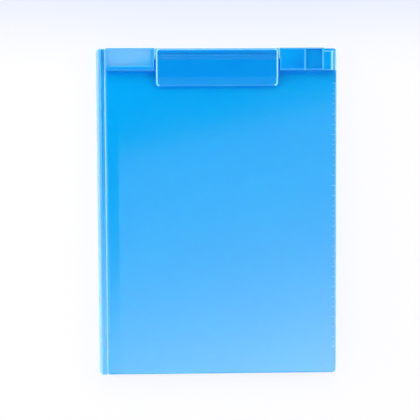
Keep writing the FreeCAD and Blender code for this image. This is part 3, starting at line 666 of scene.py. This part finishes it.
board_plastic = azure_plastic(
    "azure_board_satin",
    BOARD_AZURE,
    BOARD_DEEP,
    roughness=BOARD_ROUGHNESS,
    pale_zones=[
        (hinge_edge, HINGE_EDGE_LIT),
        (ruler_strip, RULER_STRIP),
        (ruler_edge, RULER_EDGE_LIT),
        (loop_side, LOOP_SIDE_LIT),
    ],
    seep_zones=[(lip_foot, LIP_FOOT_LIGHT), (rail_foot, RAIL_FOOT_LIGHT)],
    sag=(hinge_sag, SAG_DEPTH),
)
paint_node("board", board_plastic)

# Ruler
# Half-round ribs a few tenths of a millimetre wide, cut in the mould and so raised on the board, one to
# each millimetre along the right edge. Every fifth and tenth is longer, and all roll over the edge.
RULER_START_Y = 126.0 * MM
RULER_MARKS = 261
RULER_PITCH = 1.0 * MM
MARK_RADIUS = 0.19 * MM
MARK_SINK = 0.05 * MM
LONG_EVERY = 10
LONG_MARK = 3.1 * MM
MIDDLE_EVERY = 5
MIDDLE_MARK = 1.7 * MM
SHORT_MARK = 0.7 * MM
HALF_STEP = 0.5
BOARD_RIGHT = 117.5 * MM
BOARD_TOP = 20.0 * MM
BOARD_EDGE_R = 1.2 * MM
MARK_ROLL_END_DEG = 38
MARK_PROFILE_SIDES = 8
MARK_ROLL_POINTS = 6
# The ribs are painted paler than the board, a painted highlight along each rib.
MARK_PALE = (0.08, 0.70, 1.0, 1)
MARK_BRIGHT = (0.14, 0.80, 1.0, 1)
MARK_RUBBED_SHARE = 0.5


def ruler_inputs(tree):
    """Gives the ruler's tree its named sizes, and hands back their sockets."""
    sizes = {
        "Marks": ("Int", RULER_MARKS),
        "Pitch": ("Float", RULER_PITCH),
        "Start": ("Float", RULER_START_Y),
        "Rib Radius": ("Float", MARK_RADIUS),
        "Long": ("Float", LONG_MARK),
        "Middle": ("Float", MIDDLE_MARK),
        "Short": ("Float", SHORT_MARK),
    }
    for label, (kind, value) in sizes.items():
        socket = tree.interface.new_socket(label, in_out="INPUT", socket_type="NodeSocket" + kind)
        socket.default_value = value
    tree.interface.new_socket("Marks", in_out="OUTPUT", socket_type="NodeSocketGeometry")
    return tree.nodes.new("NodeGroupInput").outputs


def row_down_page(tree, given):
    """One point for each mark, from the ruler's start down the page."""
    first = add(tree, "ShaderNodeCombineXYZ", {"Y": given["Start"]}).outputs[0]
    step = add(tree, "ShaderNodeCombineXYZ", {"Y": times(tree, given["Pitch"], -1.0)}).outputs[0]
    row = {"Count": given["Marks"], "Start Location": first, "Offset": step}
    return add(tree, "GeometryNodeMeshLine", row).outputs[0]


def every(tree, index, count):
    """True at each count-th index."""
    left_over = reckoned(tree, "MODULO", index, float(count))
    return add(tree, "FunctionNodeCompare", {0: left_over, 1: HALF_STEP}, operation="LESS_THAN").outputs[0]


def mark_kinds(tree, given):
    """The three lengths of mark, each with the points that carry it."""
    index = add(tree, "GeometryNodeInputIndex").outputs[0]
    on_long = every(tree, index, LONG_EVERY)
    on_middle = every(tree, index, MIDDLE_EVERY)
    not_long = {0: on_middle, 1: on_long}
    only_middle = add(tree, "FunctionNodeBooleanMath", not_long, operation="NIMPLY").outputs[0]
    on_neither = add(tree, "FunctionNodeBooleanMath", {0: on_middle}, operation="NOT").outputs[0]
    return (given["Long"], on_long), (given["Middle"], only_middle), (given["Short"], on_neither)


def edge_roll(tree, flat_end):
    """The path of a mark over the board's rounded edge, from the end of its flat."""
    bend = {
        "Resolution": MARK_ROLL_POINTS,
        "Radius": BOARD_EDGE_R - MARK_SINK,
        "Start Angle": math.radians(MARK_ROLL_END_DEG),
        "Sweep Angle": math.radians(90 - MARK_ROLL_END_DEG),
    }
    upright = {
        "Geometry": add(tree, "GeometryNodeCurveArc", bend).outputs[0],
        "Translation": (flat_end, 0, BOARD_TOP - BOARD_EDGE_R),
        "Rotation": (QUARTER, 0, 0),
    }
    return add(tree, "GeometryNodeTransform", upright).outputs[0]


def place_marks(tree, join, points, path, profile, chosen):
    """Sweeps a mark's path and sets it on the chosen points."""
    swept = {"Curve": path, "Profile Curve": profile, "Fill Caps": True}
    rib = add(tree, "GeometryNodeCurveToMesh", swept).outputs[0]
    placed = {"Points": points, "Selection": chosen, "Instance": rib}
    marks = add(tree, "GeometryNodeInstanceOnPoints", placed)
    tree.links.new(marks.outputs[0], join.inputs[0])


def build_ruler_tree(material):
    """Geometry nodes: marks at a pitch down the page, three lengths, each with a roll over the edge."""
    tree = bpy.data.node_groups.new("ruler_marks", "GeometryNodeTree")
    given = ruler_inputs(tree)
    points = row_down_page(tree, given)
    circle = {"Resolution": MARK_PROFILE_SIDES, "Radius": given["Rib Radius"]}
    profile = add(tree, "GeometryNodeCurvePrimitiveCircle", circle).outputs[0]
    join = tree.nodes.new("GeometryNodeJoinGeometry")
    axis_z = BOARD_TOP - MARK_SINK
    flat_end = BOARD_RIGHT - BOARD_EDGE_R
    for length, chosen in mark_kinds(tree, given):
        from_x = reckoned(tree, "SUBTRACT", flat_end, length)
        start = add(tree, "ShaderNodeCombineXYZ", {"X": from_x, "Z": axis_z}).outputs[0]
        ends = {"Start": start, "End": (flat_end, 0, axis_z)}
        bar = add(tree, "GeometryNodeCurvePrimitiveLine", ends).outputs[0]
        place_marks(tree, join, points, bar, profile, chosen)
    place_marks(tree, join, points, edge_roll(tree, flat_end), profile, True)
    real = add(tree, "GeometryNodeRealizeInstances", {0: join.outputs[0]}).outputs[0]
    coloured = add(tree, "GeometryNodeSetMaterial", {"Geometry": real, "Material": material}).outputs[0]
    add(tree, "NodeGroupOutput", {0: coloured})
    return tree


def baked(name, holder):
    """A plain mesh piece from an object as its modifiers leave it."""
    shown = holder.evaluated_get(bpy.context.evaluated_depsgraph_get())
    piece = bpy.data.objects.new(name, bpy.data.meshes.new_from_object(shown))
    bpy.context.collection.objects.link(piece)
    bpy.data.objects.remove(holder)
    return piece


mark_plastic = azure_plastic(
    "azure_ruler_relief", MARK_PALE, MARK_BRIGHT, rubbed_share=MARK_RUBBED_SHARE, scatter=0.0
)
ruler_holder = bpy.data.objects.new("ruler_holder", bpy.data.meshes.new("ruler_holder"))
bpy.context.collection.objects.link(ruler_holder)
ruler_maker = ruler_holder.modifiers.new("ruler", "NODES")
ruler_maker.node_group = build_ruler_tree(mark_plastic)
ruler = baked("ruler_marks", ruler_holder)
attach(ruler, "lid")

# Top rail
# One hollow moulding across the head of the board, in two parts with the clip's bay between them. The left
# part has a shallow dish for clips and rubbers, the right one a recess and a loop that holds a pen.
RAIL_AZURE = (0.0, 0.355, 0.825, 1)
RAIL_DEEP = (0.0, 0.335, 0.805, 1)
RAIL_EDGE_SHARE = 0.10
SUNK_AZURE = (0.0, 0.305, 0.775, 1)
RECESS_X = (86.9 * MM, 101.7 * MM)
RECESS_Y = (139.6 * MM, 158.6 * MM)
RECESS_FADE = 0.2 * MM
DISH_AZURE = (0.0, 0.435, 0.920, 1)
DISH_PAINTED_REFLECTION = (0.125, 0.465, 0.960, 1)
DISH_X = (-104.2 * MM, -65.2 * MM)
DISH_Y = (145.2 * MM, 158.6 * MM)
DISH_LEFT_X = -106.9 * MM
DISH_FRONT_Y = 141.9 * MM
DISH_RIGHT_FADE = 3.2 * MM
DISH_BACK_FADE = 0.5 * MM
DISH_WAY = (0.6, -1.2, 0)
DISH_REFLECTION_FADE_STARTS = -231.9 * MM
DISH_REFLECTION_FADE_DONE = -205.9 * MM
DISH_REFLECTION_LEAST = 0.0
SHADE_DEEP = (0.0, 0.240, 0.750, 1)
SHADE_WAY = (0.78, -1.0, 0)
SHADE_STARTS = -102.0 * MM
SHADE_DONE = -70.0 * MM
SHADE_X = (61.0 * MM, 87.0 * MM)
SHADE_Y = (137.0 * MM, 161.0 * MM)
FRONT_DEEP = (0.0, 0.300, 0.790, 1)
FRONT_BAND_X = (-107.5 * MM, 116.0 * MM)
FRONT_BAND_Y = (137.5 * MM, 140.6 * MM)
FRONT_BAND_FADE = 0.8 * MM
RIB_PALE = (0.075, 0.450, 1.0, 1)
RIB_XS = ((84.8 * MM, 86.4 * MM), (102.2 * MM, 103.5 * MM))
RIB_Y = (138.6 * MM, 158.6 * MM)
EAR_LIT = (0.26, 0.70, 1.0, 1)
EAR_XS = ((-60.0 * MM, -59.0 * MM), (59.8 * MM, 60.8 * MM))
EAR_Y = (149.0 * MM, 159.4 * MM)
BAY_GAP_LIGHT = (0.0, 0.075, 0.420, 1)
BAY_GAP_XS = ((-59.9 * MM, -58.8 * MM), (59.6 * MM, 60.7 * MM))
BAY_GAP_Y = (137.0 * MM, 149.2 * MM)
LOOP_LIT = (0.155, 0.63, 1.0, 1)
LOOP_LINE_X = (110.65 * MM, 112.5 * MM)
LOOP_LINE_Y = (138.8 * MM, 156.8 * MM)
LOOP_BACK_X = (103.9 * MM, 113.2 * MM)
LOOP_BACK_Y = (156.3 * MM, 156.9 * MM)
LOOP_BACK_SHARE = 1.0
LOOP_FRONT_X = (104.0 * MM, 113.0 * MM)
LOOP_FRONT_Y = (138.0 * MM, 138.8 * MM)
LOOP_FRONT_SHARE = 0.5
RAIL_END_X = (114.5 * MM, 116.0 * MM)
RAIL_END_Y = (138.0 * MM, 158.0 * MM)
RAIL_END_SHARE = 0.6


def dish_floor(tree):
    """The dish in the left rail, which fades into its front rise. It is painted lighter: a painted
    reflection.
    """
    x, y, _ = add(tree, "ShaderNodeSeparateXYZ", {0: object_place(tree)}).outputs
    left = ranged(tree, x, DISH_LEFT_X, DISH_X[0])
    right = ranged(tree, x, DISH_X[1], DISH_X[1] + DISH_RIGHT_FADE, to_low=1.0, to_high=0.0)
    front = ranged(tree, y, DISH_FRONT_Y, DISH_Y[0])
    back = ranged(tree, y, DISH_Y[1], DISH_Y[1] + DISH_BACK_FADE, to_low=1.0, to_high=0.0)
    return times(tree, times(tree, left, right), times(tree, front, back))


def vector_reckoned(tree, operation, first, second=(0, 0, 0)):
    """What comes of two vectors: a number for LENGTH and DOT_PRODUCT, and otherwise a vector."""
    output = "Value" if operation in ("LENGTH", "DOT_PRODUCT") else "Vector"
    return add(tree, "ShaderNodeVectorMath", {0: first, 1: second}, operation=operation).outputs[output]


def along_way(tree, way):
    """How far a place lies along a way over the page."""
    return vector_reckoned(tree, "DOT_PRODUCT", object_place(tree), way)


def painted_dish_reflection(tree):
    """The painted reflection on the dish's floor, which is weaker towards the clip's corner."""
    aslant = along_way(tree, DISH_WAY)
    dull = ranged(tree, aslant, DISH_REFLECTION_FADE_STARTS, DISH_REFLECTION_FADE_DONE, to_low=1.0, to_high=DISH_REFLECTION_LEAST)
    return times(tree, dull, dish_floor(tree))


def right_shade(tree):
    """The right rail's flat part, which darkens away from the clip and towards the page."""
    shade = ranged(tree, along_way(tree, SHADE_WAY), SHADE_STARTS, SHADE_DONE)
    return times(tree, shade, zone(tree, SHADE_X, SHADE_Y))


def front_band(tree):
    """The rail's front, where it comes down to the page, painted darker as painted shade."""
    return zone(tree, FRONT_BAND_X, FRONT_BAND_Y, FRONT_BAND_FADE)


# The recess's floor is painted darker: painted shade.
def recess_floor(tree):
    return zone(tree, RECESS_X, RECESS_Y, RECESS_FADE)


def two_zones(tree, x_spans, y_span):
    first, second = [zone(tree, span, y_span) for span in x_spans]
    return reckoned(tree, "MAXIMUM", first, second)


def rail_ribs(tree):
    """The ribs on each side of the recess, with a painted highlight."""
    return two_zones(tree, RIB_XS, RIB_Y)


def ear_ridges(tree):
    """The ridge on each ear of the clip's bay, with a painted highlight."""
    return two_zones(tree, EAR_XS, EAR_Y)


def bay_gaps(tree):
    """The narrow gaps beside the clip, where a painted glow lightens the shade."""
    return two_zones(tree, BAY_GAP_XS, BAY_GAP_Y)


def loop_lines(tree):
    """The painted highlight along the pen loop: its outer shoulder, its back and front, and the rail's
    end.
    """
    lines = zone(tree, LOOP_LINE_X, LOOP_LINE_Y)
    others = (
        (LOOP_BACK_X, LOOP_BACK_Y, LOOP_BACK_SHARE),
        (LOOP_FRONT_X, LOOP_FRONT_Y, LOOP_FRONT_SHARE),
        (RAIL_END_X, RAIL_END_Y, RAIL_END_SHARE),
    )
    for x_span, y_span, share in others:
        line = times(tree, zone(tree, x_span, y_span), share)
        lines = reckoned(tree, "MAXIMUM", lines, line)
    return lines


rail_plastic = azure_plastic(
    "azure_rail_satin",
    RAIL_AZURE,
    RAIL_DEEP,
    edge_share=RAIL_EDGE_SHARE,
    pale_zones=[
        (dish_floor, DISH_AZURE),
        (painted_dish_reflection, DISH_PAINTED_REFLECTION),
        (right_shade, SHADE_DEEP),
        (front_band, FRONT_DEEP),
        (recess_floor, SUNK_AZURE),
        (rail_ribs, RIB_PALE),
        (ear_ridges, EAR_LIT),
        (loop_lines, LOOP_LIT),
    ],
    seep_zones=[(bay_gaps, BAY_GAP_LIGHT)],
)
paint_node("top_rail", rail_plastic)

# Rail rivets
# Four moulded pins, whose low heads hold the rail to the board from below. They are the rail's own
# plastic, so they take its material.
paint_node("rail_rivets", rail_plastic)

# Clip pin
# A drawn steel pin through the rail's ears and the clip's barrel. It keeps the fine rings of the die that
# it was drawn through.
STEEL_GREY = (0.62, 0.63, 0.65, 1)
STEEL_DULL = (0.50, 0.51, 0.54, 1)
STEEL_PATCH_SIZE = 6 * MM
STEEL_PATCH_SPAN = (0.35, 0.7)
STEEL_ROUGHNESS = 0.24
STEEL_SMOOTHER = 0.06
STEEL_ROUGHER = 0.10
RING_SIZE = 0.25 * MM
RING_STRETCH = (1, 0.08, 0.08)
RING_DEPTH = 0.006 * MM


def drawn_steel(name):
    """Bright drawn steel: fine rings in its gloss and a slightly duller colour in patches."""
    material, tree = new_material(name)
    place = object_place(tree)
    patches = noise(tree, place, 1 / STEEL_PATCH_SIZE, detail=3.0)
    colour = mixed(tree, ranged(tree, patches, *STEEL_PATCH_SPAN), STEEL_GREY, STEEL_DULL)
    squeezed = add(tree, "ShaderNodeMapping", {"Vector": place, "Scale": RING_STRETCH}).outputs[0]
    rings = noise(tree, squeezed, 1 / RING_SIZE)
    smoothest = STEEL_ROUGHNESS - STEEL_SMOOTHER
    swing = ranged(tree, rings, *NOISE_SPAN, smoothest, STEEL_ROUGHNESS + STEEL_ROUGHER)
    bump = add(tree, "ShaderNodeBump", {"Height": rings, "Distance": RING_DEPTH}).outputs[0]
    look = {"Base Color": colour, "Metallic": 1.0, "Roughness": swing, "Normal": bump}
    surface = add(tree, "ShaderNodeBsdfPrincipled", look)
    add(tree, "ShaderNodeOutputMaterial", {"Surface": surface.outputs[0]})
    return material


steel = drawn_steel("steel_drawn")
paint_node("clip_pin", steel)

# Clip springs
# Two torsion springs round the pin, wound from round steel wire. The upper leg lifts the clip's back edge
# and the lower one stands on the rail, so the coils wind up between the rail and the clip as it opens.
PIN_PLACE = Vector((0.4, 154.6, 25.15)) * MM
SPRING_WIRE_R = 0.45 * MM
SPRING_COIL_R = 2.2 * MM
SPRING_PITCH = 1.45 * MM
SPRING_TURNS = 4
SPRING_OFFSET = 30.0 * MM
SPRING_LEG = 3.0 * MM
SPRING_LEG_DIP_DEG = 20
SPRING_STEPS_PER_TURN = 24
SPRING_WIRE_ROUNDS = 2
SPRING_SWEEP = 2 * math.pi * SPRING_TURNS + math.pi - math.radians(SPRING_LEG_DIP_DEG)
SPRING_LENGTH = SPRING_PITCH * SPRING_SWEEP / (2 * math.pi)


def wire_place(start_x, angle):
    """A place on the coil, and the way the wire runs there. The coil starts at the top, over the pin."""
    rise = SPRING_PITCH / (2 * math.pi)
    place = Vector((start_x + rise * angle, PIN_PLACE.y, PIN_PLACE.z))
    place += Vector((0, -math.sin(angle), math.cos(angle))) * SPRING_COIL_R
    run = Vector((rise, -SPRING_COIL_R * math.cos(angle), -SPRING_COIL_R * math.sin(angle)))
    return place, run.normalized()


def wound_spring(name, side):
    """A coil of round wire with two straight legs, left (-1) or right (1) of the pin's middle."""
    start_x = PIN_PLACE.x + side * SPRING_OFFSET - SPRING_LENGTH / 2
    steps = math.ceil(SPRING_STEPS_PER_TURN * SPRING_SWEEP / (2 * math.pi))
    line = [wire_place(start_x, SPRING_SWEEP * n / steps) for n in range(steps + 1)]
    places = [line[0][0] - line[0][1] * SPRING_LEG] + [place for place, _ in line]
    places.append(line[-1][0] + line[-1][1] * SPRING_LEG)
    curve = bpy.data.curves.new(name, "CURVE")
    curve.dimensions = "3D"
    curve.bevel_depth = SPRING_WIRE_R
    curve.bevel_resolution = SPRING_WIRE_ROUNDS
    curve.use_fill_caps = True
    wire = curve.splines.new("POLY")
    wire.points.add(len(places) - 1)
    for spot, place in zip(wire.points, places):
        spot.co = (*place, 1)
    holder = bpy.data.objects.new(name + "_wire", curve)
    bpy.context.collection.objects.link(holder)
    spring = baked(name, holder)
    spring.data.materials.clear()
    spring.data.materials.append(steel)
    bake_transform(spring)
    return spring


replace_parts(wound_spring("torsion_spring_left", -1), "clip_spring_left")
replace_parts(wound_spring("torsion_spring_right", 1), "clip_spring_right")

# Clip plate
# The lever that holds the paper, a stiff plate of the same resin in a deeper shade, with grip lines by its
# barrel and a lip that slopes down to the page.
CLIP_AZURE = (0.0, 0.290, 0.770, 1)
CLIP_DEEP = (0.0, 0.275, 0.755, 1)
CLIP_ROUGHNESS = 0.13
CLIP_EDGE_REACH = 0.7 * MM
CLIP_EDGE_SHARE = 0.05
GROOVE_DEEP = (0.0, 0.170, 0.600, 1)
GROOVE_Y = (154.3 * MM, 154.9 * MM)
LIP_AZURE = (0.0, 0.305, 0.775, 1)
LIP_Y = (120.0 * MM, 131.4 * MM)
LIP_FADE = 0.8 * MM
PLATE_X = (-57.6 * MM, 58.4 * MM)
CLIP_MIDDLE = Vector((0.4, 141.4, 0)) * MM
CLIP_HALF = Vector((59.2, 18.0, 0)) * MM
CLIP_CORNER_R = 3.0 * MM
OUTLINE_LIT = (0.33, 0.76, 1.0, 1)
OUTLINE_WIDTH = 1.2 * MM
OUTLINE_FADE = 0.9 * MM
OUTLINE_RIM_STARTS = 0.60 * MM
OUTLINE_RIM_DONE = 0.15 * MM
OUTLINE_RIM_SHARE = 0.15
PAGE_PLANE = (1, 1, 0)
WEAK_LINE_X = (-54.5 * MM, 55.3 * MM)
WEAK_LINE_FADE = 2 * MM
FRONT_LINE_Y = (120.0 * MM, 127.0 * MM)
FRONT_LINE_SHARE = 0.04
BACK_LINE_Y = (156.0 * MM, 162.0 * MM)
BACK_LINE_SHARE = 0.45


# The groove by the barrel is painted darker: painted shade.
def barrel_groove(tree):
    return zone(tree, PLATE_X, GROOVE_Y)


# The lip's sloping face is painted a little lighter, as painted light from the foot of the page.
def lip_face(tree):
    return zone(tree, PLATE_X, LIP_Y, LIP_FADE)


def towards_rim(tree):
    """How far a place lies towards the plate's rim, where it reaches the corner's radius."""
    flat = vector_reckoned(tree, "MULTIPLY", object_place(tree), PAGE_PLANE)
    folded = vector_reckoned(tree, "ABSOLUTE", vector_reckoned(tree, "SUBTRACT", flat, CLIP_MIDDLE))
    straight = CLIP_HALF - Vector((CLIP_CORNER_R, CLIP_CORNER_R, 0))
    beyond = vector_reckoned(tree, "SUBTRACT", folded, straight)
    outer = vector_reckoned(tree, "LENGTH", vector_reckoned(tree, "MAXIMUM", beyond))
    x, y, _ = add(tree, "ShaderNodeSeparateXYZ", {0: beyond}).outputs
    inner = reckoned(tree, "MINIMUM", reckoned(tree, "MAXIMUM", x, y), 0.0)
    return reckoned(tree, "ADD", outer, inner)


def clip_outline(tree):
    """Painted highlight along the plate's rounded edge, dull at the very rim and weaker at back and front.
    """
    depth = towards_rim(tree)
    start = CLIP_CORNER_R - OUTLINE_WIDTH - OUTLINE_FADE
    line = ranged(tree, depth, start, start + OUTLINE_FADE)
    rim_starts = CLIP_CORNER_R - OUTLINE_RIM_STARTS
    rim_done = CLIP_CORNER_R - OUTLINE_RIM_DONE
    line = times(tree, line, ranged(tree, depth, rim_starts, rim_done, 1.0, OUTLINE_RIM_SHARE))
    for y_span, share in ((FRONT_LINE_Y, FRONT_LINE_SHARE), (BACK_LINE_Y, BACK_LINE_SHARE)):
        weak = zone(tree, WEAK_LINE_X, y_span, WEAK_LINE_FADE)
        line = times(tree, line, ranged(tree, weak, 0.0, 1.0, 1.0, share))
    return line


clip_plastic = azure_plastic(
    "azure_clip_satin",
    CLIP_AZURE,
    CLIP_DEEP,
    edge_share=CLIP_EDGE_SHARE,
    reach=CLIP_EDGE_REACH,
    roughness=CLIP_ROUGHNESS,
    pale_zones=[(barrel_groove, GROOVE_DEEP), (lip_face, LIP_AZURE), (clip_outline, OUTLINE_LIT)],
)
paint_node("clip_plate", clip_plastic)

# Jaw strip
# A strip of soft rubber, let into the lip's underside so that the clip grips a single sheet. Its skin is
# matt and a little dusty.
RUBBER_BLUE = (0.03, 0.18, 0.45, 1)
RUBBER_DUSTY = (0.10, 0.26, 0.50, 1)
BLOOM_SIZE = 5 * MM
BLOOM_SPAN = (0.45, 0.75)
PEBBLE_SIZE = 0.3 * MM
PEBBLE_DEPTH = 0.03 * MM
RUBBER_ROUGHNESS = 0.75
RUBBER_SWING = 0.08


def soft_rubber(name):
    """Matt rubber: a dusty bloom in patches over a fine pebbled skin."""
    material, tree = new_material(name)
    place = object_place(tree)
    bloom = noise(tree, place, 1 / BLOOM_SIZE, detail=4.0)
    skin = noise(tree, place, 1 / PEBBLE_SIZE, detail=1.0)
    colour = mixed(tree, ranged(tree, bloom, *BLOOM_SPAN), RUBBER_BLUE, RUBBER_DUSTY)
    smoothest = RUBBER_ROUGHNESS - RUBBER_SWING
    rough = ranged(tree, skin, *NOISE_SPAN, smoothest, RUBBER_ROUGHNESS + RUBBER_SWING)
    bump = add(tree, "ShaderNodeBump", {"Height": skin, "Distance": PEBBLE_DEPTH}).outputs[0]
    look = {"Base Color": colour, "Roughness": rough, "Normal": bump}
    surface = add(tree, "ShaderNodeBsdfPrincipled", look)
    add(tree, "ShaderNodeOutputMaterial", {"Surface": surface.outputs[0]})
    return material


paint_node("jaw_strip", soft_rubber("soft_jaw_rubber"))
